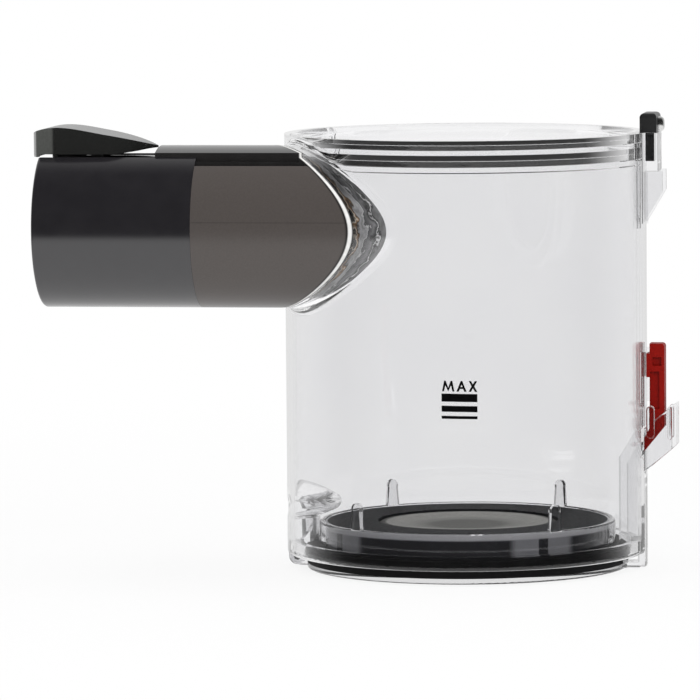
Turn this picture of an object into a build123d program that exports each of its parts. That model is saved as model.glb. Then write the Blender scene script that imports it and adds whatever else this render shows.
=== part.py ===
from build123d import *
import os

os.makedirs("parts", exist_ok=True)

# Driving sizes, in millimetres. The bin axis is Z, the base stands on z = 0, the inlet points to -X.

# Clear bin: its foot is thick, to hold the base seal, and two ribs under the rim hold the cyclone's seal
bin_radius = 55.0
wall = 2.2
shell_bottom = 4.5
rim_height = 132.5
edge_round = 1.2
foot_thick = 4.9
foot_top = 8.6
foot_slope = 0.3
top_rib = 1.45
second_rib = 1.78
rib_flat = 0.1
rib_gap = 1.45
land_drop = 1.8
land_step = 0.3
bore_radius = bin_radius - wall
foot_radius = bin_radius - foot_thick
land_radius = bore_radius - land_step
top_rib_low = rim_height - 2 * top_rib
second_rib_low = top_rib_low - rib_gap - 2 * second_rib
land_low = second_rib_low - land_drop

# Inlet: a black duct inside a grey cover and a black sleeve, bonded into a clear collar of the bin
inlet_radius = 24.4
inlet_side = 1.6
rim_clear = 2.6
collar_reach = 4.6
collar_fillet = 2.8
bond_gap = 0.9
fit_gap = 0.1
seat_gap = 0.05
sleeve_wall = 2.8
duct_wall = 2.1
spigot_sink = 1.7
cover_reach = 20.9
sleeve_length = 48.3
mouth_setback = 2.0
mouth_round = 0.9
top_slot = 11.6
cover_slot = 15.2
ledge_half = 13.4
ledge_drop = 4.2
ledge_step = 1.8
ledge_deep = 5.0
crown_radius = 40.0
crown_rise = 0.1
nose_slot = 4.6
nose_slot_length = 12.7
inlet_offset = inlet_side + inlet_radius - bin_radius
inlet_height = rim_height - rim_clear - inlet_radius
inlet_top = inlet_height + inlet_radius
collar_end = bin_radius + collar_reach
collar_bore = inlet_radius - sleeve_wall
duct_radius = collar_bore - fit_gap
duct_bore = duct_radius - duct_wall
spigot_end = bin_radius - spigot_sink
sleeve_end = -bin_radius - cover_reach
sleeve_start = sleeve_end - sleeve_length
duct_front = sleeve_start + mouth_setback
rail_half = top_slot - fit_gap

# Rocker button on top of the inlet mouth
button_overhang = 3.0
button_length = 37.8
button_half = 10.9
button_skin = 1.7
button_low = inlet_top - 2.1
button_lip = 0.8
button_lip_length = 2.6
button_high = inlet_top + 5.4
button_tip_low = inlet_top - 0.5
button_tip_high = inlet_top + 0.1
button_front = sleeve_start - button_overhang
button_tip = button_front + button_length
pivot_x = sleeve_start + 17.2
pivot_z = button_high - 4.3
pivot_radius = 0.9
run_gap = 0.05
boss_half = 5.6
ear_gap = 0.5
ear_thick = 1.8
ear_round = 1.6
ear_length = 8.0
brow_length = 5.5
tail_length = 6.5
nose_inset = 4.2
nose_height = 7.6
nose_thick = 2.4

# Hinged base
flange_radius = bin_radius - 6.0
flange_thick = 1.7
flange_round = 0.5
ring_outer = flange_radius - 3.8
ring_wall = 1.8
ring_inner = ring_outer - ring_wall
ring_top = 14.6
ring_round = 0.44 * ring_wall
seal_step = 4.9
seal_cut = 20.0
seal_top = 7.6
lip_gap = 0.45
pad_top = 14.2
pad_skirt = 2.0
disc_radius = ring_inner - 16.2
disc_seat = 11.2
disc_top = 13.7
disc_land = 6.5
disc_slope = 3.0
fin_angles = (56.0, 129.6, 229.8, 313.0)
fin_width = 4.6
fin_thick = 1.5
fin_top = 22.5

# Hinge recess, a bulb pressed into the bin wall, and catch recess on the other side
turret_x = -bin_radius - 3.8
neck_radius = 10.6
neck_top = 14.8
bulge_radius = 19.6
bulge_height = 18.8
bulge_round = 2.2
turret_top = 24.0
hinge_x = 3.5 - bin_radius
hinge_z = 3.2
hinge_pin_radius = 1.2
knuckle_radius = 2.6
knuckle_half = 4.0
hinge_gap = 0.4
hinge_ear = 3.0
catch_face = bin_radius - 6.0
catch_half = 4.6
catch_roof_in = 32.0
catch_roof_out = 42.4
tongue_in = bore_radius
tongue_out = bin_radius - seat_gap
tongue_gap = 0.45
tongue_half = catch_half - tongue_gap
tongue_top = catch_roof_in - 3.4

# Release rod and its clear bracket
bracket_out = bin_radius + 9.5
bracket_wall = 1.6
bracket_inside = 3.6
plate_thick = 1.4
plate_round = 0.5
post_thick = 0.7
post_length = 10.0
inner_post = 2.5
outer_post = 1.6
rod_half = bracket_inside - 0.7
rod_in = bin_radius + 1.3
rod_out = bin_radius + 5.8
rod_top = 68.4
hook_drop = 6.6
hook_length = 7.2
window_drop = 5.4
window_length = 2.6
panel_drop = 14.2
panel_length = 11.5
panel_margin = 1.4
panel_depth = 1.2
rod_heel = catch_roof_out + 0.8
rod_toe_x = bin_radius - 1.6
rod_toe_low = tongue_top + 5.6
rod_toe_top = rod_toe_low + 3.4

# Rear block seated in a clear socket at the rim
block_in = bin_radius - 1.1
block_out = bin_radius + 4.0
block_half = 6.5
block_top = rim_height + 5.9
stem_in = bin_radius + 0.6
stem_out = stem_in + 2.6
stem_half = 5.0
stem_low = rim_height - 8.5
gusset_length = 19.5
rail_length = 20.0
short_rail_low = 7.5
short_rail_top = 24.0
stud_radius = 2.3
stud_height = 1.8
stud_z = block_top - 3.5


# The collar is a short tube running along X, ended by a cylinder round the bin axis.
with BuildPart() as collar_blank:
    with BuildSketch(Plane.YZ.offset(-collar_end)):
        with Locations((inlet_offset, inlet_height)):
            Circle(inlet_radius)
    extrude(amount=collar_end - 5)
    with BuildSketch(Plane.XY.offset(inlet_height - inlet_radius - 5)):
        Circle(collar_end)
    extrude(amount=2 * inlet_radius + 10, mode=Mode.INTERSECT)

# The hinge recess is a domed bulb on a neck. Its skin in the bin is the same shape, one wall larger.
turret_shapes = []
for skin in (wall, 0.0):
    with BuildPart() as turret_shape:
        with BuildSketch(Plane.XZ.offset(0)) as turret_profile:
            with BuildLine():
                underside = neck_top + 0.5 * (wall - skin)
                Polyline(
                    (turret_x, turret_top + skin),
                    (turret_x, 0),
                    (turret_x + neck_radius + skin, 0),
                    (turret_x + neck_radius + skin, underside),
                    (turret_x + bulge_radius + skin, bulge_height),
                )
                TangentArc(
                    (turret_x, turret_top + skin),
                    (turret_x + bulge_radius + skin, bulge_height),
                    tangent=(1, 0),
                )
            make_face()
            fillet(turret_profile.vertices().sort_by(Axis.X)[-1], bulge_round)
        revolve(axis=Axis((turret_x, 0, 0), (0, 0, 1)))
    turret_shapes.append(turret_shape.part)
turret_skin, turret_hollow = turret_shapes

# Chamber: the hollow of the bin, with a thick foot, two ribs under the rim and both recess skins left standing
with BuildPart() as chamber:
    with BuildSketch(Plane.XZ):
        with BuildLine():
            Polyline(
                (0, 0),
                (foot_radius, 0),
                (foot_radius, foot_top),
                (bore_radius, foot_top + foot_slope),
                (bore_radius, land_low),
                (land_radius, land_low + land_step),
                (land_radius, second_rib_low),
                (land_radius - second_rib + rib_flat / 2, second_rib_low + second_rib - rib_flat / 2),
                (land_radius - second_rib + rib_flat / 2, second_rib_low + second_rib + rib_flat / 2),
                (land_radius, second_rib_low + 2 * second_rib),
                (land_radius, top_rib_low),
                (land_radius - top_rib + rib_flat / 2, top_rib_low + top_rib - rib_flat / 2),
                (land_radius - top_rib + rib_flat / 2, top_rib_low + top_rib + rib_flat / 2),
                (land_radius, rim_height),
                (land_radius, rim_height + 5),
                (0, rim_height + 5),
                close=True,
            )
        make_face()
    revolve(axis=Axis.Z)
    add(turret_skin, mode=Mode.SUBTRACT)
    with BuildSketch(Plane.XZ):
        with BuildLine():
            Polyline(
                (catch_face - wall, 0),
                (bin_radius + 2, 0),
                (bin_radius + 2, catch_roof_out + 2 * wall),
                (bin_radius, catch_roof_out + 2 * wall),
                (catch_face - wall, catch_roof_in + wall),
                close=True,
            )
        make_face()
    extrude(amount=catch_half + wall, both=True, mode=Mode.SUBTRACT)

# Blank for one side plate of the rod bracket, rounded at its outer edges, with two upright guide posts
with BuildPart() as bracket_side:
    with BuildSketch(Plane.XZ.offset(bracket_inside)):
        with BuildLine():
            Polyline(
                (bin_radius - 2.0, catch_roof_out - 14.0),
                (bin_radius, catch_roof_out - 12.8),
                (bracket_out, catch_roof_out - 4.8),
                (bracket_out, catch_roof_out + 8.0),
                (bin_radius, catch_roof_out + 0.6),
                (bin_radius - 2.0, catch_roof_out - 0.8),
                close=True,
            )
        make_face()
    extrude(amount=plate_thick)
    fillet(bracket_side.faces().sort_by(Axis.Y)[0].edges(), plate_round)
with BuildPart() as bracket_posts:
    with BuildSketch(Plane.XZ.offset(bracket_inside)):
        with Locations((rod_in + 0.4, catch_roof_out + 2.2)):
            SlotOverall(post_length, inner_post, rotation=90)
        with Locations((rod_out + 1.7, catch_roof_out + 2.0)):
            SlotOverall(post_length, outer_post, rotation=90)
    extrude(amount=plate_thick + post_thick)
    fillet(bracket_posts.faces().group_by(Axis.Y)[0].edges(), plate_round)
bracket_plate = bracket_side.part + bracket_posts.part

# Clear bin shell: one moulding with collar, rim, recesses, rear socket, rails and rod bracket
with BuildPart() as bin_shell:
    with BuildSketch(Plane.XZ):
        with BuildLine():
            Line((0, shell_bottom), (bin_radius - edge_round, shell_bottom))
            RadiusArc(
                (bin_radius - edge_round, shell_bottom),
                (bin_radius, shell_bottom + edge_round),
                -edge_round,
            )
            Line((bin_radius, shell_bottom + edge_round), (bin_radius, rim_height + 12))
            Line((bin_radius, rim_height + 12), (0, rim_height + 12))
            Line((0, rim_height + 12), (0, shell_bottom))
        make_face()
    revolve(axis=Axis.Z)
    add(collar_blank.part)
    fillet(bin_shell.edges(Select.NEW), collar_fillet)
    with BuildSketch(Plane.XY.offset(rim_height)):
        Rectangle(4 * bin_radius, 4 * bin_radius)
    extrude(amount=20, mode=Mode.SUBTRACT)

    # Socket for the rear block, with two gusset ribs under it
    with BuildSketch(Plane.XY.offset(stem_low - 3.3)):
        with Locations((0.5 * (bin_radius - 3 + stem_out + 1), 0)):
            Rectangle(stem_out + 1 - bin_radius + 3, 2 * stem_half + 4)
    extrude(amount=rim_height - stem_low + 3.3)
    for side in (-1, 1):
        with BuildSketch(Plane.XZ.offset(side * (stem_half + 1.1))):
            with BuildLine():
                Polyline(
                    (bin_radius - 2, stem_low - gusset_length),
                    (bin_radius, stem_low - gusset_length + 0.7),
                    (stem_out + 2.5, stem_low - 9.2),
                    (stem_out + 2.5, stem_low - 3.0),
                    (bin_radius - 2, stem_low - 3.0),
                    close=True,
                )
            make_face()
        extrude(amount=0.8, both=True)

    # Thin upright rails: long ones below the rim at the rear, short ones above the rod, one by the inlet
    for angle, rail_low, rail_top in (
        (-12.5, stem_low - rail_length, rim_height),
        (12.5, stem_low - rail_length, rim_height),
        (146.5, land_low - 3.0, rim_height),
        (-9.5, catch_roof_out + short_rail_low, catch_roof_out + short_rail_top),
        (9.5, catch_roof_out + short_rail_low, catch_roof_out + short_rail_top),
    ):
        with BuildSketch(Plane.XY.offset(rail_low)):
            with Locations(Rot(0, 0, angle)):
                with Locations((bin_radius, 0)):
                    Rectangle(1.7, 1.0)
        extrude(amount=rail_top - rail_low)

    # Rod bracket: two slanted side plates with guide posts and an outer wall
    add(bracket_plate)
    add(bracket_plate.mirror(Plane.XZ))
    with BuildSketch(Plane.XZ):
        with BuildLine():
            Polyline(
                (bracket_out - bracket_wall, catch_roof_out - 5.9),
                (bracket_out, catch_roof_out - 4.8),
                (bracket_out, catch_roof_out + 8.0),
                (bracket_out - bracket_wall, catch_roof_out + 6.9),
                close=True,
            )
        make_face()
    extrude(amount=bracket_inside + plate_thick, both=True)

    # Hollows: chamber, hinge recess, catch recess, inlet bore and the socket slot
    add(chamber.part, mode=Mode.SUBTRACT)
    add(turret_hollow, mode=Mode.SUBTRACT)
    with BuildSketch(Plane.XZ):
        with BuildLine():
            Polyline(
                (catch_face, 0),
                (bin_radius + 0.02, 0),
                (bin_radius + 0.02, catch_roof_out),
                (catch_face, catch_roof_in),
                close=True,
            )
        make_face()
    extrude(amount=catch_half, both=True, mode=Mode.SUBTRACT)
    with BuildSketch(Plane.YZ.offset(-collar_end - 5)):
        with Locations((inlet_offset, inlet_height)):
            Circle(collar_bore)
    extrude(amount=collar_end + 5 - 15.0, mode=Mode.SUBTRACT)
    with BuildSketch(Plane.XY.offset(stem_low - seat_gap)):
        with Locations((0.5 * (stem_in + stem_out), 0)):
            Rectangle(stem_out - stem_in + 2 * seat_gap, 2 * (stem_half + seat_gap))
    extrude(amount=20, mode=Mode.SUBTRACT)

    # Hinge ears hanging in the recess, bored for the pin
    for side in (-1, 1):
        with BuildSketch(Plane.XZ.offset(side * (knuckle_half + hinge_gap + hinge_ear / 2))):
            with Locations((hinge_x, hinge_z)):
                Circle(knuckle_radius)
            with BuildLine():
                Polyline(
                    (hinge_x - knuckle_radius, hinge_z),
                    (hinge_x + knuckle_radius, hinge_z),
                    (hinge_x + knuckle_radius + 0.3, hinge_z + 4.0),
                    (hinge_x + knuckle_radius + 0.3, hinge_z + 8.0),
                    (hinge_x - knuckle_radius, hinge_z + 3.0),
                    close=True,
                )
            make_face()
        extrude(amount=hinge_ear / 2, both=True)
    with BuildSketch(Plane.XZ):
        with Locations((hinge_x, hinge_z)):
            Circle(hinge_pin_radius)
    extrude(amount=knuckle_half + hinge_gap + hinge_ear + 0.02, both=True, mode=Mode.SUBTRACT)
bin_shell.part.label = "bin_shell"
export_step(bin_shell.part, "parts/bin_shell.step")

# White bead of adhesive that fills the joint between the collar and the duct's cover
with BuildPart() as bond_ring:
    with BuildSketch(Plane.YZ.offset(-collar_end - 3)):
        with Locations((inlet_offset, inlet_top + crown_rise - crown_radius)):
            Circle(crown_radius)
        with Locations((inlet_offset, inlet_height + 0.5 * inlet_radius + 5)):
            Rectangle(2 * rail_half, inlet_radius, mode=Mode.INTERSECT)
        with Locations((inlet_offset, inlet_height)):
            Circle(inlet_radius - fit_gap)
            Circle(collar_bore, mode=Mode.SUBTRACT)
    extrude(amount=collar_end + 3 - 10)
    with BuildSketch(Plane.XY.offset(inlet_height - inlet_radius - 5)):
        Circle(collar_end + bond_gap)
        Circle(collar_end, mode=Mode.SUBTRACT)
    extrude(amount=2 * inlet_radius + 10, mode=Mode.INTERSECT)
bond_ring.part.label = "bond_ring"
export_step(bond_ring.part, "parts/bond_ring.step")

# Blanks for the duct: its tube, ended by the saddle in the collar, and the crowned rail along its top
with BuildPart() as duct_tube:
    with BuildSketch(Plane.YZ.offset(duct_front)):
        with Locations((inlet_offset, inlet_height)):
            Circle(duct_radius)
    extrude(amount=-duct_front - 10)
    with BuildSketch(Plane.XY.offset(inlet_height - inlet_radius - 5)):
        Circle(spigot_end)
    extrude(amount=2 * inlet_radius + 10, mode=Mode.SUBTRACT)
rail_start = button_tip + 0.9
with BuildPart() as top_rail:
    with BuildSketch(Plane.YZ.offset(rail_start)):
        with Locations((inlet_offset, inlet_top + crown_rise - crown_radius)):
            Circle(crown_radius)
    extrude(amount=-rail_start - 10)
    with BuildSketch(Plane.YZ.offset(rail_start)):
        with Locations((inlet_offset, inlet_height + 0.5 * inlet_radius + 5)):
            Rectangle(2 * rail_half, inlet_radius)
    extrude(amount=-rail_start - 10, mode=Mode.INTERSECT)
    with BuildSketch(Plane.YZ.offset(sleeve_end + seat_gap)):
        with Locations((inlet_offset, inlet_top - ledge_drop - ledge_deep / 2)):
            Rectangle(2 * ledge_half, ledge_deep)
        with Locations((inlet_offset, inlet_top - ledge_drop - ledge_step - ledge_deep / 2)):
            Rectangle(2 * (cover_slot - fit_gap), ledge_deep)
    extrude(amount=-sleeve_end - 10)
    with BuildSketch(Plane.XY.offset(inlet_height - inlet_radius)):
        Circle(collar_end + bond_gap)
    extrude(amount=3 * inlet_radius, mode=Mode.SUBTRACT)

# Black inlet duct: tube with a saddle-cut end, a rail along its top and ears for the button's pin
with BuildPart() as inlet_duct:
    add(duct_tube.part)
    add(top_rail.part)
    for side in (-1, 1):
        ear_middle = boss_half + ear_gap + ear_thick / 2
        with BuildSketch(Plane.XZ.offset(-inlet_offset + side * ear_middle)):
            with Locations((pivot_x, pivot_z)):
                Circle(ear_round)
            with Locations((pivot_x, pivot_z - ear_length / 2)):
                Rectangle(2 * ear_round, ear_length)
        extrude(amount=ear_thick / 2, both=True)
    with BuildSketch(Plane.XZ.offset(-inlet_offset)):
        with Locations((pivot_x, pivot_z)):
            Circle(pivot_radius)
    extrude(amount=boss_half + ear_gap + ear_thick + 0.02, both=True, mode=Mode.SUBTRACT)
    with BuildSketch(Plane.YZ.offset(duct_front - 1)):
        with Locations((inlet_offset, inlet_height)):
            Circle(duct_bore)
    extrude(amount=-duct_front - 10, mode=Mode.SUBTRACT)
    with BuildSketch(Plane.YZ.offset(duct_front - 1)):
        with Locations((inlet_offset, inlet_top)):
            Rectangle(2 * nose_slot, 2 * 8.0)
    extrude(amount=nose_slot_length - mouth_setback + 1, mode=Mode.SUBTRACT)
inlet_duct.part.label = "inlet_duct"
export_step(inlet_duct.part, "parts/inlet_duct.step")

# Satin grey cover round the duct, from the sleeve to the saddle-shaped joint, slotted for the rail
with BuildPart() as duct_cover:
    with BuildSketch(Plane.YZ.offset(sleeve_end + seat_gap)):
        with Locations((inlet_offset, inlet_height)):
            Circle(inlet_radius)
            Circle(inlet_radius - sleeve_wall, mode=Mode.SUBTRACT)
    extrude(amount=-sleeve_end - 10)
    with BuildSketch(Plane.XY.offset(inlet_height - inlet_radius - 5)):
        Circle(collar_end + bond_gap)
    extrude(amount=2 * inlet_radius + 10, mode=Mode.SUBTRACT)
    with BuildSketch(Plane.YZ.offset(sleeve_end - 1)):
        with Locations((inlet_offset, inlet_top)):
            Rectangle(2 * cover_slot, inlet_radius)
    extrude(amount=-sleeve_end, mode=Mode.SUBTRACT)
duct_cover.part.label = "duct_cover"
export_step(duct_cover.part, "parts/duct_cover.step")

# Black sleeve over the front of the duct, open along its top for the button
with BuildPart() as inlet_sleeve:
    with BuildSketch(Plane.YZ.offset(sleeve_start)):
        with Locations((inlet_offset, inlet_height)):
            Circle(inlet_radius)
            Circle(inlet_radius - sleeve_wall, mode=Mode.SUBTRACT)
    extrude(amount=sleeve_length)
    fillet(inlet_sleeve.edges().filter_by(GeomType.CIRCLE).group_by(Axis.X)[0], mouth_round)
    with BuildSketch(Plane.YZ.offset(sleeve_start - 1)):
        with Locations((inlet_offset, inlet_top)):
            Rectangle(2 * top_slot, inlet_radius)
    extrude(amount=sleeve_length + 2, mode=Mode.SUBTRACT)
inlet_sleeve.part.label = "inlet_sleeve"
export_step(inlet_sleeve.part, "parts/inlet_sleeve.step")

# Leaf-shaped rocker button: hollow below, with a boss for its pin and a nose at the front
with BuildPart() as button_hollow:
    with BuildSketch(Plane.XZ.offset(-inlet_offset)):
        with BuildLine():
            Polyline(
                (button_front + 2.2, button_low - 5),
                (button_front + 2.2, button_high - button_skin - 0.6),
                (button_front + 6.0, button_high - button_skin),
                (pivot_x - 6.8, button_high - button_skin - 0.2),
                (pivot_x - 0.6, button_high - button_skin - 0.6),
                (pivot_x + 5.5, button_high - button_skin - 2.0),
                (button_tip - 8.0, button_tip_low),
                (button_tip - 8.0, button_low - 5),
                close=True,
            )
        make_face()
    extrude(amount=button_half - button_skin, both=True)
    with BuildSketch(Plane.XY.offset(button_low - 6)):
        with Locations((0, inlet_offset)):
            with BuildLine():
                Polyline(
                    (button_front + 2.2, inlet_offset - button_half + button_skin + 1.0),
                    (button_front + 4.0, inlet_offset - button_half + button_skin),
                    (pivot_x + 2.0, inlet_offset - button_half + button_skin),
                    (button_tip - 8.0, inlet_offset - button_half + 2 * button_skin + 4.0),
                    (button_tip - 8.0, inlet_offset + button_half - 2 * button_skin - 4.0),
                    (pivot_x + 2.0, inlet_offset + button_half - button_skin),
                    (button_front + 4.0, inlet_offset + button_half - button_skin),
                    (button_front + 2.2, inlet_offset + button_half - button_skin - 1.0),
                    close=True,
                )
            make_face()
    extrude(amount=20, mode=Mode.INTERSECT)
with BuildPart() as wand_button:
    with BuildSketch(Plane.XZ.offset(-inlet_offset)):
        with BuildLine():
            Spline(
                (button_front, button_high - 1.6),
                (button_front + 4.0, button_high),
                (pivot_x - 0.8, button_high - 0.9),
                (pivot_x + brow_length, button_high - 2.1),
                (button_tip - tail_length, button_high - 3.4),
                (button_tip, button_tip_high),
            )
            Polyline(
                (button_tip, button_tip_high),
                (button_tip, button_tip_low),
                (pivot_x + 6.5, button_low),
                (button_front + 0.8 + button_lip_length, button_low),
                (button_front + 0.4 + button_lip_length, button_low - button_lip),
                (button_front + 1.0, button_low - button_lip),
                (button_front, button_low + 0.4),
                (button_front, button_high - 1.6),
            )
        make_face()
    extrude(amount=button_half + 1, both=True)
    with BuildSketch(Plane.XY.offset(button_low - 5)):
        with BuildLine():
            ThreePointArc(
                (button_front + 2.4, inlet_offset - button_half),
                (button_front, inlet_offset),
                (button_front + 2.4, inlet_offset + button_half),
            )
            Line(
                (button_front + 2.4, inlet_offset + button_half),
                (pivot_x + 2.5, inlet_offset + button_half),
            )
            ThreePointArc(
                (pivot_x + 2.5, inlet_offset + button_half),
                (button_tip - 6.2, inlet_offset + 0.62 * button_half),
                (button_tip, inlet_offset),
            )
            ThreePointArc(
                (button_tip, inlet_offset),
                (button_tip - 6.2, inlet_offset - 0.62 * button_half),
                (pivot_x + 2.5, inlet_offset - button_half),
            )
            Line(
                (pivot_x + 2.5, inlet_offset - button_half),
                (button_front + 2.4, inlet_offset - button_half),
            )
        make_face()
    extrude(amount=25, mode=Mode.INTERSECT)
    add(button_hollow.part, mode=Mode.SUBTRACT)
    with BuildSketch(Plane.YZ.offset(pivot_x)):
        with Locations((inlet_offset, inlet_height)):
            Circle(button_tip_low - inlet_height)
    extrude(amount=button_tip - pivot_x + 1, mode=Mode.SUBTRACT)
    with BuildSketch(Plane.XZ.offset(-inlet_offset)):
        with Locations((pivot_x, pivot_z)):
            Circle(ear_round + 0.3)
        with Locations((pivot_x, pivot_z + 1.1)):
            Rectangle(2 * ear_round + 0.6, 2.2)
    extrude(amount=boss_half, both=True)
    with BuildSketch(Plane.XZ.offset(-inlet_offset)):
        with Locations((sleeve_start + nose_inset, button_high - button_skin - nose_height / 2 + 0.7)):
            Rectangle(nose_thick, nose_height)
    extrude(amount=nose_slot - 0.6, both=True)
    with BuildSketch(Plane.XZ.offset(-inlet_offset)):
        with Locations((pivot_x, pivot_z)):
            Circle(pivot_radius + run_gap)
    extrude(amount=boss_half + 0.02, both=True, mode=Mode.SUBTRACT)
wand_button.part.label = "wand_button"
export_step(wand_button.part, "parts/wand_button.step")

# Steel pin of the button, held in the ears of the duct
with BuildPart() as button_pin:
    with BuildSketch(Plane.XZ.offset(-inlet_offset)):
        with Locations((pivot_x, pivot_z)):
            Circle(pivot_radius)
    extrude(amount=boss_half + ear_gap + ear_thick, both=True)
button_pin.part.label = "button_pin"
export_step(button_pin.part, "parts/button_pin.step")

# Blank for the catch tongue: a strip that carries the line of the bin wall down to the base, with a lip at its top
with BuildPart() as catch_tongue:
    with BuildSketch(Plane.XZ):
        with BuildLine():
            Polyline(
                (tongue_in, flange_round),
                (tongue_out, flange_round),
                (tongue_out, tongue_top - 1.2),
                (tongue_out - 1.0, tongue_top),
                (tongue_in - 0.7, tongue_top - 1.2),
                (tongue_in - 0.7, tongue_top - 3.2),
                (tongue_in, tongue_top - 4.0),
                close=True,
            )
        make_face()
    revolve(axis=Axis.Z)
    with BuildSketch(Plane.XY):
        with Locations((bin_radius - 4.0, 0)):
            Rectangle(8.0, 2 * tongue_half)
    extrude(amount=tongue_top + 1, mode=Mode.INTERSECT)

# Clear base plate: flange, upright ring with fins, hinge knuckle and catch tongue in one moulding
ring_middle = 0.5 * (ring_inner + ring_outer)
with BuildPart() as base_plate:
    with BuildSketch(Plane.XY):
        Circle(flange_radius)
        with Locations((0.5 * (ring_outer + tongue_in), 0)):
            Rectangle(tongue_in - ring_outer + 1.0, 2 * tongue_half)
        with Locations((hinge_x + 3.5, 0)):
            Rectangle(7.0, 2 * knuckle_half)
    extrude(amount=flange_thick)
    with BuildSketch(Plane.XZ) as ring_profile:
        with Locations((ring_middle, 0.5 * ring_top)):
            Rectangle(ring_wall, ring_top)
        fillet(ring_profile.vertices().group_by(Axis.Y)[-1], ring_round)
    revolve(axis=Axis.Z)
    for angle in fin_angles:
        fin_out = Vector(1, 0, 0).rotate(Axis.Z, angle)
        fin_side = Vector(0, 1, 0).rotate(Axis.Z, angle)
        with BuildSketch(Plane(fin_out * ring_middle, x_dir=fin_side, z_dir=fin_out)):
            with BuildLine():
                Polyline(
                    (-fin_width / 2, ring_top - 2.0),
                    (fin_width / 2, ring_top - 2.0),
                    (0.34 * fin_width, fin_top - 1.6),
                    (-0.34 * fin_width, fin_top - 1.6),
                    close=True,
                )
            make_face()
            with Locations((0, fin_top - 1.75)):
                Circle(1.75)
        extrude(amount=fin_thick / 2, both=True)
    fillet(base_plate.faces().sort_by(Axis.Z)[0].edges(), flange_round)
    add(catch_tongue.part)
    with BuildSketch(Plane.XZ):
        with Locations((hinge_x, hinge_z)):
            Circle(knuckle_radius)
        with Locations((hinge_x + 1.3, 0.5 * hinge_z)):
            Rectangle(2.6, hinge_z)
    extrude(amount=knuckle_half, both=True)
    with BuildSketch(Plane.XZ):
        with Locations((hinge_x, hinge_z)):
            Circle(hinge_pin_radius + run_gap)
    extrude(amount=knuckle_half + 0.02, both=True, mode=Mode.SUBTRACT)
base_plate.part.label = "base_plate"
export_step(base_plate.part, "parts/base_plate.step")

# Black rubber seal round the ring, with a lip that wipes the foot of the bin, cut away round both recesses
with BuildPart() as base_seal:
    with BuildSketch(Plane.XZ):
        with BuildLine():
            Polyline(
                (ring_outer + fit_gap, flange_thick),
                (flange_radius, flange_thick),
                (flange_radius, seal_step),
                (foot_radius - lip_gap, seal_step + 0.4),
                (foot_radius - lip_gap, seal_top - 0.6),
                (foot_radius - lip_gap - 0.9, seal_top),
                (ring_outer + fit_gap, seal_top),
                close=True,
            )
        make_face()
    revolve(axis=Axis.Z)
    with BuildSketch(Plane.XY):
        with Locations((turret_x, 0)):
            Circle(neck_radius + wall + hinge_gap)
        with Locations((catch_face - wall - hinge_gap + seal_cut / 2, 0)):
            Rectangle(seal_cut, 2 * (catch_half + wall + hinge_gap))
    extrude(amount=seal_top + 1, mode=Mode.SUBTRACT)
base_seal.part.label = "base_seal"
export_step(base_seal.part, "parts/base_seal.step")

# Dark pad that fills the ring, with a round seat for the centre seal
with BuildPart() as base_pad:
    with BuildSketch(Plane.XZ):
        with BuildLine():
            Polyline(
                (0, disc_seat - pad_skirt),
                (ring_inner - fit_gap - pad_skirt, disc_seat - pad_skirt),
                (ring_inner - fit_gap - pad_skirt, flange_thick),
                (ring_inner - fit_gap, flange_thick),
                (ring_inner - fit_gap, pad_top),
                (disc_radius + fit_gap, pad_top),
                (disc_radius + fit_gap, disc_seat),
                (0, disc_seat),
                close=True,
            )
        make_face()
    revolve(axis=Axis.Z)
base_pad.part.label = "base_pad"
export_step(base_pad.part, "parts/base_pad.step")

# Grey dished disc in the middle that seals the dust cone of the machine
with BuildPart() as centre_seal:
    with BuildSketch(Plane.XZ):
        with BuildLine():
            Polyline(
                (0, disc_seat),
                (disc_radius, disc_seat),
                (disc_radius, disc_top - 0.6),
                (disc_radius - 1.0, disc_top),
                (disc_radius - disc_land, disc_top),
                (disc_radius - disc_land - disc_slope, disc_top - 0.9),
                (0, disc_top - 1.1),
                close=True,
            )
        make_face()
    revolve(axis=Axis.Z)
centre_seal.part.label = "centre_seal"
export_step(centre_seal.part, "parts/centre_seal.step")

# Steel pin of the base hinge
with BuildPart() as base_hinge_pin:
    with BuildSketch(Plane.XZ):
        with Locations((hinge_x, hinge_z)):
            Circle(hinge_pin_radius)
    extrude(amount=knuckle_half + hinge_gap + hinge_ear, both=True)
base_hinge_pin.part.label = "base_hinge_pin"
export_step(base_hinge_pin.part, "parts/base_hinge_pin.step")

# Red release rod: slides down in the bracket, its toe above the tongue of the base
with BuildPart() as release_rod:
    with BuildSketch(Plane.XZ):
        with BuildLine():
            Polyline(
                (rod_in, rod_top),
                (rod_out, rod_top),
                (rod_out, rod_heel),
                (rod_toe_x, rod_toe_low),
                (rod_toe_x, rod_toe_top),
                (rod_in, rod_heel - 0.5),
                close=True,
            )
        make_face()
        with Locations((0.5 * (bin_radius + 0.3 + rod_in) + 0.2, rod_top - hook_drop)):
            Rectangle(rod_in - bin_radius + 0.1, hook_length)
    extrude(amount=rod_half, both=True)
    fillet(release_rod.edges().filter_by(Axis.Y).group_by(Axis.Z)[-1].sort_by(Axis.X)[-1], 1.0)
    for side in (-1, 1):
        with BuildSketch(Plane.XZ.offset(side * rod_half)):
            with Locations((0.5 * (rod_in + rod_out), rod_top - window_drop)):
                Rectangle(rod_out - rod_in - 1.8, window_length)
            with Locations((0.5 * (rod_in + rod_out - panel_margin), rod_top - panel_drop)):
                Rectangle(rod_out - rod_in - 1.2 * panel_margin, panel_length)
        extrude(amount=panel_depth, both=True, mode=Mode.SUBTRACT)
release_rod.part.label = "release_rod"
export_step(release_rod.part, "parts/release_rod.step")

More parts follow.
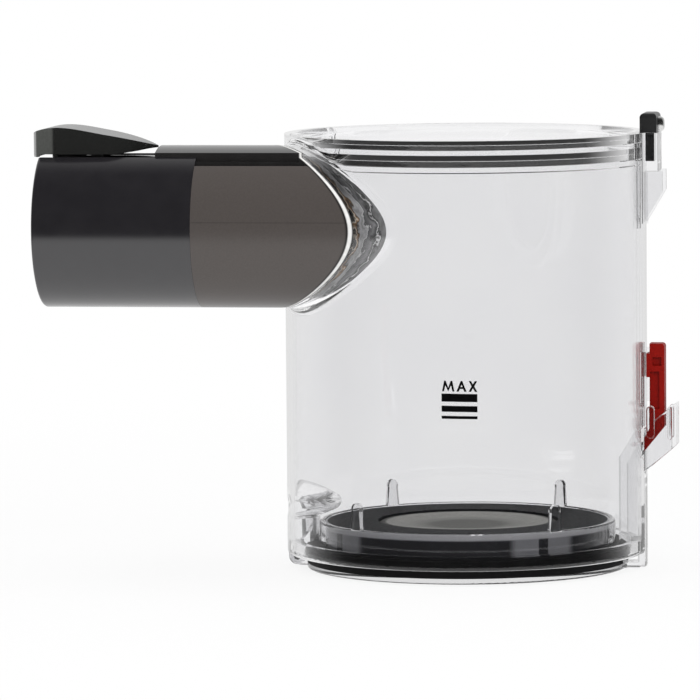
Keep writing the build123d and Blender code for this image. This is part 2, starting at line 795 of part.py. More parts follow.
# Black block standing in the socket at the rear of the rim
with BuildPart() as rear_block:
    with BuildSketch(Plane.XZ):
        with Locations((0.5 * (block_in + block_out), 0.5 * (rim_height + seat_gap + block_top))):
            Rectangle(block_out - block_in, block_top - rim_height - seat_gap)
    extrude(amount=block_half, both=True)
    fillet(rear_block.edges().group_by(Axis.Z)[-1], 1.3)
    with BuildSketch(Plane.XY.offset(stem_low)):
        with Locations((0.5 * (stem_in + stem_out), 0)):
            RectangleRounded(stem_out - stem_in, 2 * stem_half, 0.4)
    extrude(amount=rim_height - stem_low + 1)
    with BuildSketch(Plane.YZ.offset(block_out - 3.0)):
        with Locations((0, stud_z)):
            Circle(0.5 * stud_radius)
    extrude(amount=4, mode=Mode.SUBTRACT)
rear_block.part.label = "rear_block"
export_step(rear_block.part, "parts/rear_block.step")

# Bright domed stud pressed into the outer face of the block
with BuildPart() as block_stud:
    with BuildSketch(Plane.YZ.offset(block_out)):
        with Locations((0, stud_z)):
            Circle(stud_radius)
    extrude(amount=stud_height)
    fillet(block_stud.edges().group_by(Axis.X)[-1], 0.75 * stud_height)
    with BuildSketch(Plane.YZ.offset(block_out - 2.9)):
        with Locations((0, stud_z)):
            Circle(0.5 * stud_radius)
    extrude(amount=2.9)
block_stud.part.label = "block_stud"
export_step(block_stud.part, "parts/block_stud.step")
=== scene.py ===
import math

import bpy
from mathutils import Matrix, Vector


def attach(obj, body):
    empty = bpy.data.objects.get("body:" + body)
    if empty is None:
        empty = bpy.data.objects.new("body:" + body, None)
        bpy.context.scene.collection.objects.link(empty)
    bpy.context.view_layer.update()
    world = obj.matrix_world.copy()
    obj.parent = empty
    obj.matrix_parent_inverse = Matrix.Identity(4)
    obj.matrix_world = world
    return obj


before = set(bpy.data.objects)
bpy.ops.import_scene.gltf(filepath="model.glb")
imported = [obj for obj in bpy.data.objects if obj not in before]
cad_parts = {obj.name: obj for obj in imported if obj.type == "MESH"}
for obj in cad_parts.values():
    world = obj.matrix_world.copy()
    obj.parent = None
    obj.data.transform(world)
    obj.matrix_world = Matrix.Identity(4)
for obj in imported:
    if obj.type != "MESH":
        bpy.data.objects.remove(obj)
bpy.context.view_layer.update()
bpy.ops.object.select_all(action="DESELECT")

# Bin shell: the clear cup that collects the dust, injection moulded in polycarbonate
# in one shot with its inlet collar, hinge recess, rod bracket and socket.
# The walls are polished in the tool and carry a faint waviness from the melt's flow.
millimetre = 0.001
shell_tint = ((0.938, 0.938, 0.948), (0.952, 0.952, 0.958))
shell_flow_size = 30.0 * millimetre
clear_flow_depth = 0.010 * millimetre
clear_index = 1.585
clear_haze = 0.012
clear_turns = 3.5
tone_span = (0.3, 0.7)


def dress(node_name, material):
    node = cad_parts[node_name]
    node.data.materials.clear()
    node.data.materials.append(material)


def feed(tree, socket, given):
    if isinstance(given, bpy.types.NodeSocket):
        tree.links.new(given, socket)
    else:
        socket.default_value = given


def reckon(tree, operation, *terms):
    sum_node = tree.nodes.new("ShaderNodeMath")
    sum_node.operation = operation
    for socket, term in zip(sum_node.inputs, terms):
        feed(tree, socket, term)
    return sum_node.outputs["Value"]


def graded(tree, value, begin, end, low=0.0, high=1.0, curve="SMOOTHSTEP"):
    grade = tree.nodes.new("ShaderNodeMapRange")
    grade.interpolation_type = curve
    settings = (("Value", value), ("From Min", begin), ("From Max", end), ("To Min", low), ("To Max", high))
    for socket_name, given in settings:
        feed(tree, grade.inputs[socket_name], given)
    return grade.outputs["Result"]


def mottle(tree, size, detail):
    place = tree.nodes.new("ShaderNodeTexCoord")
    noise = tree.nodes.new("ShaderNodeTexNoise")
    noise.inputs["Scale"].default_value = 1.0 / size
    noise.inputs["Detail"].default_value = detail
    tree.links.new(place.outputs["Object"], noise.inputs["Vector"])
    return noise.outputs["Fac"]


def two_tone(tree, share, dark, light):
    ramp = tree.nodes.new("ShaderNodeValToRGB")
    ramp.name = "colour"
    for stop, position, tone in zip(ramp.color_ramp.elements, tone_span, (dark, light)):
        stop.position = position
        stop.color = (*tone, 1)
    tree.links.new(share, ramp.inputs["Fac"])
    return ramp.outputs["Color"]


def raised(tree, height, depth):
    relief = tree.nodes.new("ShaderNodeBump")
    relief.inputs["Strength"].default_value = 1.0
    relief.inputs["Distance"].default_value = depth
    tree.links.new(height, relief.inputs["Height"])
    return relief.outputs["Normal"]


def clear_polycarbonate(name, tint, flow_size):
    material = bpy.data.materials.new(name)
    material.use_nodes = True
    tree = material.node_tree
    shader = tree.nodes["Principled BSDF"]
    shader.inputs["IOR"].default_value = clear_index
    shader.inputs["Transmission Weight"].default_value = 1.0
    flow = mottle(tree, flow_size, 1.0)
    feed(tree, shader.inputs["Base Color"], two_tone(tree, flow, tint[0], tint[1]))
    feed(tree, shader.inputs["Roughness"], graded(tree, flow, 0.0, 1.0, 0.0, clear_haze, "LINEAR"))
    feed(tree, shader.inputs["Normal"], raised(tree, flow, clear_flow_depth))
    # Light that keeps turning inside a wall is let out, and lamps cast no hard shadow of it.
    path = tree.nodes.new("ShaderNodeLightPath")
    trapped = reckon(tree, "GREATER_THAN", path.outputs["Glossy Depth"], clear_turns)
    let_out = reckon(tree, "MAXIMUM", path.outputs["Is Shadow Ray"], trapped)
    open_way = tree.nodes.new("ShaderNodeBsdfTransparent")
    mix = tree.nodes.new("ShaderNodeMixShader")
    feed(tree, mix.inputs["Fac"], let_out)
    feed(tree, mix.inputs[1], shader.outputs["BSDF"])
    feed(tree, mix.inputs[2], open_way.outputs["BSDF"])
    feed(tree, tree.nodes["Material Output"].inputs["Surface"], mix.outputs["Shader"])
    return material


dress("bin_shell", clear_polycarbonate("shell_polycarbonate", shell_tint, shell_flow_size))

# Bond ring: the bead of white adhesive that fills the joint between the duct's cover
# and the clear collar. It is wiped flush; both its edges are painted dark, a painted shade where it meets
# its neighbours.
bond_middle = 60.05 * millimetre
bond_white_half = 0.16 * millimetre
bond_shade_half = 0.40 * millimetre
bond_edge_shade = (0.030, 0.028, 0.028, 1)


def moulded_finish(name, dark, light, gloss, grain_size, grain_depth, index=1.5, shine=0.5):
    material = bpy.data.materials.new(name)
    material.use_nodes = True
    tree = material.node_tree
    shader = tree.nodes["Principled BSDF"]
    shader.inputs["IOR"].default_value = index
    shader.inputs["Specular IOR Level"].default_value = shine
    grain = mottle(tree, grain_size, 3.0)
    polish = graded(tree, grain, tone_span[0], tone_span[1], gloss[0], gloss[1], "LINEAR")
    polish.node.name = "polish"
    feed(tree, shader.inputs["Base Color"], two_tone(tree, grain, dark, light))
    feed(tree, shader.inputs["Roughness"], polish)
    feed(tree, shader.inputs["Normal"], raised(tree, grain, grain_depth))
    return material


def reach_from_axis(tree):
    flat = tree.nodes.new("ShaderNodeVectorMath")
    flat.operation = "MULTIPLY"
    flat.inputs[1].default_value = (1, 1, 0)
    tree.links.new(tree.nodes["Texture Coordinate"].outputs["Object"], flat.inputs[0])
    reach = tree.nodes.new("ShaderNodeVectorMath")
    reach.operation = "LENGTH"
    tree.links.new(flat.outputs["Vector"], reach.inputs[0])
    return reach.outputs["Value"]


def blended(tree, share, first, second):
    mix = tree.nodes.new("ShaderNodeMix")
    mix.data_type = "RGBA"
    feed(tree, mix.inputs[0], share)
    feed(tree, mix.inputs[6], first)
    feed(tree, mix.inputs[7], second)
    return mix.outputs[2]


def own_colour(tree):
    return tree.nodes["colour"].outputs["Color"]


def paint(tree, colour):
    tree.links.new(colour, tree.nodes["Principled BSDF"].inputs["Base Color"])


bond_finish = moulded_finish(
    "bond_white", dark=(0.78, 0.77, 0.75), light=(0.90, 0.90, 0.89),
    gloss=(0.35, 0.5), grain_size=1.5 * millimetre, grain_depth=0.01 * millimetre,
)
tree = bond_finish.node_tree
bond_away = reckon(tree, "ABSOLUTE", reckon(tree, "SUBTRACT", reach_from_axis(tree), bond_middle))
# Painted shade: the bead is darkened along both edges, where it meets the cover and the collar.
bond_shade_mask = graded(tree, bond_away, bond_white_half, bond_shade_half)
paint(tree, blended(tree, bond_shade_mask, own_colour(tree), bond_edge_shade))
dress("bond_ring", bond_finish)

# Inlet duct: the black tube that carries the dusty air into the bin, moulded in ABS
# with the rail along its top. Its spigot is pushed into the collar and glued there,
# and the glue is seen through the collar as grey smears along the saddle-shaped end.
glue_inner = 53.0 * millimetre
glue_outer = 60.0 * millimetre
glue_limit = 57.4 * millimetre
glue_wander = 1.3 * millimetre
glue_smear = (1.0 * millimetre, 3.5 * millimetre)
glue_bands = (
    (53.3, (0.160, 0.160, 0.160)), (53.8, (0.150, 0.150, 0.150)), (54.00, (0.020, 0.020, 0.020)),
    (54.15, (0.480, 0.480, 0.480)), (54.3, (0.030, 0.030, 0.030)), (54.8, (0.140, 0.140, 0.142)),
    (55.3, (0.060, 0.060, 0.062)), (55.45, (0.360, 0.360, 0.360)), (55.6, (0.170, 0.170, 0.172)),
    (56.3, (0.220, 0.220, 0.222)), (56.5, (0.030, 0.024, 0.020)), (56.7, (0.150, 0.085, 0.040)),
    (56.85, (0.300, 0.270, 0.230)), (57.0, (0.020, 0.018, 0.016)), (57.4, (0.014, 0.014, 0.015)),
)
glue_thin = 0.95
glue_heaped = 2.6
glue_shade_low = 110.0 * millimetre
glue_shade_high = 120.0 * millimetre
glue_shade_share = 0.35
glue_dullness = 0.55


def place_along(tree, axis):
    places = tree.nodes.new("ShaderNodeSeparateXYZ")
    tree.links.new(tree.nodes["Texture Coordinate"].outputs["Object"], places.inputs["Vector"])
    return places.outputs[axis]


def banded(tree, reach, inner, outer, bands):
    ramp = tree.nodes.new("ShaderNodeValToRGB")
    stops = ramp.color_ramp.elements
    stops.remove(stops[1])
    for band_reach, band_colour in bands:
        stops.new((band_reach * millimetre - inner) / (outer - inner)).color = (*band_colour, 1)
    stops[0].color = stops[1].color
    feed(tree, ramp.inputs["Fac"], graded(tree, reach, inner, outer, curve="LINEAR"))
    return ramp.outputs["Color"]


def scaled(tree, colour, share):
    scale = tree.nodes.new("ShaderNodeVectorMath")
    scale.operation = "SCALE"
    feed(tree, scale.inputs[0], colour)
    feed(tree, scale.inputs["Scale"], share)
    return scale.outputs["Vector"]


duct_finish = moulded_finish(
    "duct_gloss_black", dark=(0.017, 0.016, 0.016), light=(0.021, 0.020, 0.020),
    gloss=(0.10, 0.16), grain_size=4.0 * millimetre, grain_depth=0.002 * millimetre, index=1.65,
)
tree = duct_finish.node_tree
duct_reach = reach_from_axis(tree)
duct_height = place_along(tree, "Z")
glue_grid = tree.nodes.new("ShaderNodeCombineXYZ")
feed(tree, glue_grid.inputs["X"], reckon(tree, "DIVIDE", duct_reach, glue_smear[0]))
feed(tree, glue_grid.inputs["Y"], reckon(tree, "DIVIDE", duct_height, glue_smear[1]))
glue_noise = tree.nodes.new("ShaderNodeTexNoise")
glue_noise.inputs["Scale"].default_value = 1.0
glue_noise.inputs["Detail"].default_value = 3.0
feed(tree, glue_noise.inputs["Vector"], glue_grid.outputs["Vector"])
glue_patch = glue_noise.outputs["Fac"]
glue_shift = graded(tree, glue_patch, 0.0, 1.0, -glue_wander, glue_wander, "LINEAR")
glue_line = reckon(tree, "ADD", duct_reach, glue_shift)
glue_colour = banded(tree, glue_line, glue_inner, glue_outer, glue_bands)
glue_thick = graded(tree, glue_patch, tone_span[0], tone_span[1], glue_thin, glue_heaped, "LINEAR")
glue_shade = graded(tree, duct_height, glue_shade_low, glue_shade_high, 1.0, glue_shade_share)
glue_tone = scaled(tree, glue_colour, reckon(tree, "MULTIPLY", glue_thick, glue_shade))
glue_here = reckon(tree, "LESS_THAN", glue_line, glue_limit)
paint(tree, blended(tree, glue_here, own_colour(tree), glue_tone))
duct_polish = tree.nodes["polish"].outputs["Result"]
duct_gloss = graded(tree, glue_here, 0.0, 1.0, duct_polish, glue_dullness, "LINEAR")
feed(tree, tree.nodes["Principled BSDF"].inputs["Roughness"], duct_gloss)
dress("inlet_duct", duct_finish)

# Duct cover: the satin gunmetal jacket round the duct, moulded in ABS, painted, and slotted for the rail.
# The two halves of its tool leave a hairline along its side at mid height,
# and its saddle-shaped edge is painted darker, a painted shade in the joint with the bead.
parting_height = 108.2 * millimetre
parting_half = 0.11 * millimetre
parting_share = 0.35
cover_end = 60.5 * millimetre
cover_shade_width = 0.45 * millimetre
cover_shade_share = 0.12
cover_finish = moulded_finish(
    "cover_satin_gunmetal", dark=(0.074, 0.064, 0.059), light=(0.084, 0.072, 0.067),
    gloss=(0.28, 0.34), grain_size=0.5 * millimetre, grain_depth=0.003 * millimetre,
)
tree = cover_finish.node_tree
parting_away = reckon(tree, "ABSOLUTE", reckon(tree, "SUBTRACT", place_along(tree, "Z"), parting_height))
parting = graded(tree, parting_away, 0.0, parting_half, parting_share, 1.0)
# Painted shade: the cover's colour is darkened along its saddle-shaped edge, in the joint with the bead.
cover_joint_shade = graded(
    tree, reach_from_axis(tree), cover_end, cover_end + cover_shade_width, cover_shade_share, 1.0
)
paint(tree, scaled(tree, own_colour(tree), reckon(tree, "MULTIPLY", parting, cover_joint_shade)))
dress("duct_cover", cover_finish)

# Inlet sleeve: the polished black tube over the duct's outer end, where the wand plugs in.
# It is moulded in glossy ABS, open along its top for the button, and slid on up to the cover.
sleeve_finish = moulded_finish(
    "sleeve_gloss_black", dark=(0.0150, 0.0140, 0.0165), light=(0.0180, 0.0168, 0.0195),
    gloss=(0.15, 0.19), grain_size=6.0 * millimetre, grain_depth=0.002 * millimetre, index=1.80,
)
dress("inlet_sleeve", sleeve_finish)

# Wand button: the leaf-shaped rocker that lets go of the wand, moulded in black ABS
# with a fine spark-eroded skin. Its outer end, which stands proud, is painted paler: a painted highlight.
# It rocks on a ground steel pin held in the duct's ears.
button_highlight_begins = -119.3 * millimetre
button_highlight_full = -120.3 * millimetre
button_highlight_share = 5.5
button_finish = moulded_finish(
    "button_black", dark=(0.0125, 0.0130, 0.0122), light=(0.0165, 0.0170, 0.0160),
    gloss=(0.16, 0.22), grain_size=0.4 * millimetre, grain_depth=0.001 * millimetre, index=1.6,
)
tree = button_finish.node_tree
# Painted highlight: the colour is lifted several times towards the button's outer end.
button_highlight = graded(tree, place_along(tree, "X"), button_highlight_begins, button_highlight_full, 1.0, button_highlight_share)
paint(tree, scaled(tree, own_colour(tree), button_highlight))
dress("wand_button", button_finish)


def turned_steel(name, dark, light, ring_pitch):
    material = moulded_finish(
        name, dark, light, gloss=(0.18, 0.32), grain_size=ring_pitch, grain_depth=0.001 * millimetre
    )
    material.node_tree.nodes["Principled BSDF"].inputs["Metallic"].default_value = 1.0
    return material


button_pin_finish = turned_steel(
    "button_pin_steel", dark=(0.42, 0.42, 0.43), light=(0.62, 0.62, 0.62), ring_pitch=0.3 * millimetre
)
dress("button_pin", button_pin_finish)

# Base plate: the clear trapdoor under the bin, moulded in polycarbonate with an upright ring,
# four fins, a catch tongue and a hinge barrel that turns on a steel pin in the shell.
base_tint = ((0.885, 0.885, 0.895), (0.900, 0.900, 0.906))
base_flow_size = 24.0 * millimetre
dress("base_plate", clear_polycarbonate("base_polycarbonate", base_tint, base_flow_size))
hinge_pin_finish = turned_steel(
    "hinge_pin_steel", dark=(0.40, 0.40, 0.41), light=(0.60, 0.60, 0.60), ring_pitch=0.3 * millimetre
)
dress("base_hinge_pin", hinge_pin_finish)

# Base seal: the soft black rubber ring that closes the base against the shell's foot.
# It is compression moulded and stretched over the plate's ring.
seal_finish = moulded_finish(
    "seal_black_rubber", dark=(0.0045, 0.0045, 0.0050), light=(0.0080, 0.0080, 0.0085),
    gloss=(0.55, 0.70), grain_size=0.8 * millimetre, grain_depth=0.006 * millimetre, shine=0.12,
)
dress("base_seal", seal_finish)

# Base pad and centre seal: a dark slate plastic tray pressed into the ring of the base,
# with four pairs of pale windows moulded into its side and a pale band painted round the top of its side, a
# painted highlight for the light caught in the clear ring's lip, and the grey dished rubber disc in its
# middle, which seals the machine's dust cone.
pad_side = 42.8 * millimetre
pad_side_colour = (0.034, 0.034, 0.039, 1)
pad_highlight_low = 12.2 * millimetre
pad_highlight_full = 12.9 * millimetre
pad_highlight_colour = (0.62, 0.62, 0.64, 1)
pad_window_middle = math.radians(-52.0)
pad_window_step = math.radians(90.0)
pad_window_half = math.radians(15.0)
pad_window_fade = math.radians(4.0)
pad_window_bar = math.radians(1.8)
pad_window_bar_fade = math.radians(0.6)
pad_window_colour = (0.330, 0.332, 0.350, 1)
pad_finish = moulded_finish(
    "pad_slate", dark=(0.0085, 0.0088, 0.0105), light=(0.0120, 0.0124, 0.0148),
    gloss=(0.50, 0.62), grain_size=1.2 * millimetre, grain_depth=0.004 * millimetre, shine=0.10,
)
tree = pad_finish.node_tree
pad_outside = reckon(tree, "GREATER_THAN", reach_from_axis(tree), pad_side)
pad_angle = reckon(tree, "ARCTAN2", place_along(tree, "Y"), place_along(tree, "X"))
pad_turn = reckon(tree, "SUBTRACT", pad_angle, pad_window_middle)
pad_aside = reckon(tree, "PINGPONG", pad_turn, pad_window_step / 2)
pad_window_ends = graded(tree, pad_aside, pad_window_half, pad_window_half - pad_window_fade)
pad_window_gap = graded(tree, pad_aside, pad_window_bar, pad_window_bar + pad_window_bar_fade)
pad_window = reckon(tree, "MULTIPLY", pad_window_ends, pad_window_gap)
# Painted highlight: the top of the pad's side is painted pale, standing in for the light in the clear
# ring's lip.
pad_highlight_band = graded(tree, place_along(tree, "Z"), pad_highlight_low, pad_highlight_full)
pad_colour = blended(tree, pad_outside, own_colour(tree), pad_side_colour)
for pad_detail, detail_colour in ((pad_window, pad_window_colour), (pad_highlight_band, pad_highlight_colour)):
    pad_share = reckon(tree, "MULTIPLY", pad_detail, pad_outside)
    pad_colour = blended(tree, pad_share, pad_colour, detail_colour)
paint(tree, pad_colour)
dress("base_pad", pad_finish)

disc_edge = 28.0 * millimetre
disc_tones = ((10.5, 0.47), (13.5, 0.72), (18.0, 0.90), (24.6, 1.00), (25.3, 0.28), (27.0, 0.24))
disc_finish = moulded_finish(
    "disc_grey_rubber", dark=(0.285, 0.284, 0.269), light=(0.355, 0.354, 0.336),
    gloss=(0.55, 0.70), grain_size=1.0 * millimetre, grain_depth=0.006 * millimetre, shine=0.15,
)
tree = disc_finish.node_tree
disc_bands = [(tone_reach, (tone, tone, tone)) for tone_reach, tone in disc_tones]
disc_share = banded(tree, reach_from_axis(tree), 0.0, disc_edge, disc_bands)
paint(tree, scaled(tree, own_colour(tree), disc_share))
dress("centre_seal", disc_finish)

# Release rod: the red slider that opens the base, moulded in coloured acetal.
# It runs down inside the clear bracket until its toe reaches the base's catch tongue.
rod_finish = moulded_finish(
    "rod_red", dark=(0.25, 0.0045, 0.0020), light=(0.31, 0.0065, 0.0030),
    gloss=(0.40, 0.52), grain_size=0.7 * millimetre, grain_depth=0.003 * millimetre,
    index=1.48, shine=0.12,
)
dress("release_rod", rod_finish)

# Rear block and stud: a black nylon peg pushed into the socket at the back of the rim,
# with a bright domed steel stud pressed into its outer face.
block_finish = moulded_finish(
    "block_black", dark=(0.0150, 0.0150, 0.0152), light=(0.0210, 0.0210, 0.0214),
    gloss=(0.30, 0.42), grain_size=0.6 * millimetre, grain_depth=0.003 * millimetre,
)
dress("rear_block", block_finish)
stud_finish = turned_steel(
    "stud_steel", dark=(0.62, 0.62, 0.62), light=(0.80, 0.80, 0.79), ring_pitch=0.4 * millimetre
)
dress("block_stud", stud_finish)

# Fill mark: the word MAX over three bars, pad printed in black ink on the wall
# facing the user. It is a thin film that follows the curve of the shell.
# Each letter is laid out from four-cornered strokes, in shares of its width and height.
mark_radius = 54.97 * millimetre
mark_film = 0.02 * millimetre
mark_angle = math.radians(-84.85)
mark_width = 10.65 * millimetre
mark_lean = -0.020
mark_weld = 0.005 * millimetre
mark_cuts = 2
word_low = 58.35 * millimetre
word_height = 3.2 * millimetre
letter_strokes = (
    (0.016, 0.347, (
        ((0.00, 0.00), (0.16, 0.00), (0.27, 0.56), (0.17, 1.00)),
        ((0.17, 1.00), (0.27, 0.56), (0.50, 0.36), (0.30, 1.00)),
        ((0.27, 0.56), (0.50, 0.00), (0.73, 0.56), (0.50, 0.36)),
        ((0.70, 1.00), (0.50, 0.36), (0.73, 0.56), (0.83, 1.00)),
        ((0.83, 1.00), (0.73, 0.56), (0.84, 0.00), (1.00, 0.00)),
    )),
    (0.416, 0.287, (
        ((0.00, 0.00), (0.23, 0.00), (0.34, 0.25), (0.11, 0.25)),
        ((0.11, 0.25), (0.34, 0.25), (0.41, 0.44), (0.19, 0.44)),
        ((0.19, 0.44), (0.41, 0.44), (0.50, 0.66), (0.42, 1.00)),
        ((0.42, 1.00), (0.50, 0.66), (0.58, 1.00), (0.50, 1.00)),
        ((0.58, 1.00), (0.50, 0.66), (0.59, 0.44), (0.81, 0.44)),
        ((0.81, 0.44), (0.59, 0.44), (0.66, 0.25), (0.89, 0.25)),
        ((0.89, 0.25), (0.66, 0.25), (0.77, 0.00), (1.00, 0.00)),
        ((0.34, 0.25), (0.66, 0.25), (0.59, 0.44), (0.41, 0.44)),
    )),
    (0.756, 0.244, (
        ((0.00, 0.00), (0.28, 0.00), (0.50, 0.32), (0.34, 0.51)),
        ((0.72, 0.00), (1.00, 0.00), (0.66, 0.51), (0.50, 0.32)),
        ((0.66, 0.51), (0.98, 1.00), (0.71, 1.00), (0.50, 0.70)),
        ((0.50, 0.70), (0.29, 1.00), (0.02, 1.00), (0.34, 0.51)),
        ((0.34, 0.51), (0.50, 0.32), (0.66, 0.51), (0.50, 0.70)),
    )),
)
bar_spans = ((55.3, 57.7), (52.3, 54.1), (50.2, 51.1))
bar_steps = 12
strokes = []
for letter_left, letter_width, letter_faces in letter_strokes:
    for first, second, third, fourth in letter_faces:
        bpy.ops.object.select_all(action="DESELECT")
        bpy.ops.mesh.primitive_plane_add(size=1.0)
        stroke = bpy.context.object
        for vertex, (across, up) in zip(stroke.data.vertices, (first, second, fourth, third)):
            across_mark = letter_left + across * letter_width - 0.5
            vertex.co = (across_mark * mark_width, word_low + up * word_height, 0.0)
        strokes.append(stroke)
for bar_low, bar_high in bar_spans:
    bpy.ops.object.select_all(action="DESELECT")
    bpy.ops.mesh.primitive_grid_add(x_subdivisions=bar_steps, y_subdivisions=1, size=1.0)
    bar = bpy.context.object
    for vertex in bar.data.vertices:
        bar_height = bar_low + (vertex.co.y + 0.5) * (bar_high - bar_low)
        vertex.co = (vertex.co.x * mark_width, bar_height * millimetre, 0.0)
    strokes.append(bar)
mark = strokes[0]
mark.name = "fill_mark"
bpy.ops.object.select_all(action="DESELECT")
for stroke in strokes:
    stroke.select_set(True)
bpy.context.view_layer.objects.active = mark
bpy.ops.object.join()
bpy.ops.object.mode_set(mode="EDIT")
bpy.ops.mesh.select_all(action="SELECT")
bpy.ops.mesh.remove_doubles(threshold=mark_weld)
bpy.ops.mesh.normals_make_consistent(inside=False)
bpy.ops.mesh.quads_convert_to_tris()
bpy.ops.mesh.subdivide(number_cuts=mark_cuts)
bpy.ops.object.mode_set(mode="OBJECT")
for vertex in mark.data.vertices:
    turn = mark_angle + vertex.co.x / mark_radius
    rise = vertex.co.y + mark_lean * vertex.co.x
    vertex.co = (mark_radius * math.cos(turn), mark_radius * math.sin(turn), rise)
film = mark.modifiers.new("film", "SOLIDIFY")
film.thickness = mark_film
film.offset = 1.0
bpy.ops.object.modifier_apply(modifier="film")
mark_ink = moulded_finish(
    "mark_ink", dark=(0.0025, 0.0025, 0.0030), light=(0.0045, 0.0045, 0.0050),
    gloss=(0.55, 0.70), grain_size=0.3 * millimetre, grain_depth=0.001 * millimetre, shine=0.03,
)
mark.data.materials.clear()
mark.data.materials.append(mark_ink)
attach(mark, "bin")

# Table: a wide sheet of pale frosted glass over the white room. It keeps the bin's shadow,
# which fades out before the far edge, and the base shows through it when it hangs open.
table_size = 6.0
table_drop = 0.2 * millimetre
table_shadow_share = 0.14
table_shadow_near = 0.15
table_shadow_far = 0.60
table_white = (0.9, 0.9, 0.9, 1)
bpy.ops.object.select_all(action="DESELECT")
bpy.ops.mesh.primitive_plane_add(size=table_size, location=(0, 0, -table_drop))
bpy.ops.object.transform_apply(location=True, rotation=False, scale=False)
table = bpy.context.object
table.name = "table_top"
table.visible_glossy = False
table.visible_transmission = False
table_finish = bpy.data.materials.new("table_white")
table_finish.use_nodes = True
tree = table_finish.node_tree
tree.nodes.clear()
table_place = tree.nodes.new("ShaderNodeTexCoord")
table_reach = tree.nodes.new("ShaderNodeVectorMath")
table_reach.operation = "LENGTH"
feed(tree, table_reach.inputs[0], table_place.outputs["Object"])
table_shadow = graded(
    tree, table_reach.outputs["Value"], table_shadow_near, table_shadow_far, 1.0 - table_shadow_share, 1.0
)
table_path = tree.nodes.new("ShaderNodeLightPath")
table_matt = tree.nodes.new("ShaderNodeBsdfDiffuse")
table_matt.inputs["Color"].default_value = table_white
table_clear = tree.nodes.new("ShaderNodeBsdfTransparent")
table_clear.inputs["Color"].default_value = (1, 1, 1, 1)
table_mix = tree.nodes.new("ShaderNodeMixShader")
table_share = reckon(tree, "MULTIPLY", table_path.outputs["Is Camera Ray"], table_shadow)
feed(tree, table_mix.inputs["Fac"], table_share)
feed(tree, table_mix.inputs[1], table_matt.outputs["BSDF"])
feed(tree, table_mix.inputs[2], table_clear.outputs["BSDF"])
table_output = tree.nodes.new("ShaderNodeOutputMaterial")
feed(tree, table_output.inputs["Surface"], table_mix.outputs["Shader"])
table.data.materials.append(table_finish)

# Room: a white wall behind the bench and a white floor below it; the front and the ceiling are unlit.
# Only gloss and the edges of clear parts show the dark front; matt parts are lit evenly.
room_turn = math.radians(-8.5)
room_dark = 0.03
room_fill = 0.72
room_white = (1, 1, 1, 1)
wall_begins = -0.15
wall_full = 0.90
wall_level = 0.78
floor_begins = -0.14
floor_full = -0.30
world = bpy.data.worlds.new("studio")
bpy.context.scene.world = world
world.use_nodes = True
world.cycles.sampling_method = "NONE"
tree = world.node_tree
tree.nodes.clear()
direction = tree.nodes.new("ShaderNodeTexCoord")
turned = tree.nodes.new("ShaderNodeVectorRotate")
turned.rotation_type = "Z_AXIS"
turned.inputs["Angle"].default_value = room_turn
feed(tree, turned.inputs["Vector"], direction.outputs["Generated"])
towards = tree.nodes.new("ShaderNodeSeparateXYZ")
feed(tree, towards.inputs["Vector"], turned.outputs["Vector"])
wall_light = graded(tree, towards.outputs["Y"], wall_begins, wall_full, room_dark, wall_level)
floor_light = graded(tree, towards.outputs["Z"], floor_begins, floor_full, room_dark, 1.0)
mirrored_light = reckon(tree, "MAXIMUM", wall_light, floor_light)
room_path = tree.nodes.new("ShaderNodeLightPath")
mirrored = reckon(tree, "GREATER_THAN", room_path.outputs["Glossy Depth"], 0.5)
clear_light = graded(tree, mirrored, 0.0, 1.0, 1.0, mirrored_light, "LINEAR")
room_strength = graded(
    tree, room_path.outputs["Is Diffuse Ray"], 0.0, 1.0, clear_light, room_fill, "LINEAR"
)
room_light = tree.nodes.new("ShaderNodeBackground")
room_light.inputs["Color"].default_value = room_white
feed(tree, room_light.inputs["Strength"], room_strength)
seen_white = tree.nodes.new("ShaderNodeBackground")
seen_white.inputs["Color"].default_value = room_white
seen_white.inputs["Strength"].default_value = 1.0
room_mix = tree.nodes.new("ShaderNodeMixShader")
feed(tree, room_mix.inputs["Fac"], room_path.outputs["Is Camera Ray"])
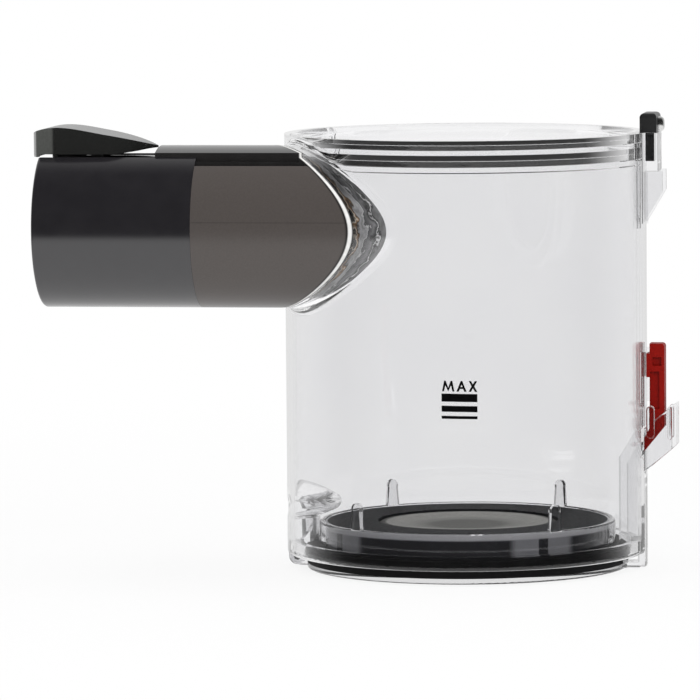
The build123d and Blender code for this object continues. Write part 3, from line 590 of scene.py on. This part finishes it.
feed(tree, room_mix.inputs[1], room_light.outputs["Background"])
feed(tree, room_mix.inputs[2], seen_white.outputs["Background"])
room_output = tree.nodes.new("ShaderNodeOutputWorld")
feed(tree, room_output.inputs["Surface"], room_mix.outputs["Shader"])

# Lamps: a soft one overhead and a wide weak one beside the camera give matt parts their form.
# Gloss and clear parts see the room instead of the lamps.
lamp_settings = (
    ("overhead_lamp", (-0.03, -0.15, 1.40), (-0.03, 0.0, 0.05), 1.2, 6.0),
    ("front_lamp", (0.60, -1.50, 1.00), (-0.03, 0.0, 0.06), 1.0, 9.0),
)
for lamp_name, lamp_place, lamp_aim, lamp_size, lamp_power in lamp_settings:
    bpy.ops.object.light_add(type="AREA", location=lamp_place)
    lamp = bpy.context.object
    lamp.name = lamp_name
    lamp.data.size = lamp_size
    lamp.data.energy = lamp_power
    lamp_back = Vector(lamp_place) - Vector(lamp_aim)
    lamp.rotation_euler = lamp_back.to_track_quat("Z", "Y").to_euler()
    lamp.visible_camera = False
    lamp.visible_glossy = False
    lamp.visible_transmission = False

# Camera: a long lens, a little above the rim and a little to the right of the front.
# Clear walls need many turns of the light, so its bounces are raised with it.
view_azimuth = math.radians(8.5)
view_rise = math.radians(4.96)
view_distance = 1.88
view_lens = 317.0
view_roll = math.radians(-0.45)
view_target = Vector((-35.25, -4.3, 66.15)) * millimetre
view_back = Vector((
    math.sin(view_azimuth) * math.cos(view_rise),
    -math.cos(view_azimuth) * math.cos(view_rise),
    math.sin(view_rise),
))
bpy.ops.object.camera_add(location=view_target + view_back * view_distance)
camera = bpy.context.object
view_turn = view_back.to_track_quat("Z", "Y").to_matrix() @ Matrix.Rotation(view_roll, 3, "Z")
camera.rotation_euler = view_turn.to_euler()
camera.data.lens = view_lens
camera.data.sensor_width = 36.0
camera.data.clip_end = 50.0
scene = bpy.context.scene
scene.camera = camera
scene.view_settings.view_transform = "Standard"
scene.cycles.max_bounces = 32
scene.cycles.glossy_bounces = 24
scene.cycles.transmission_bounces = 32
scene.cycles.transparent_max_bounces = 32
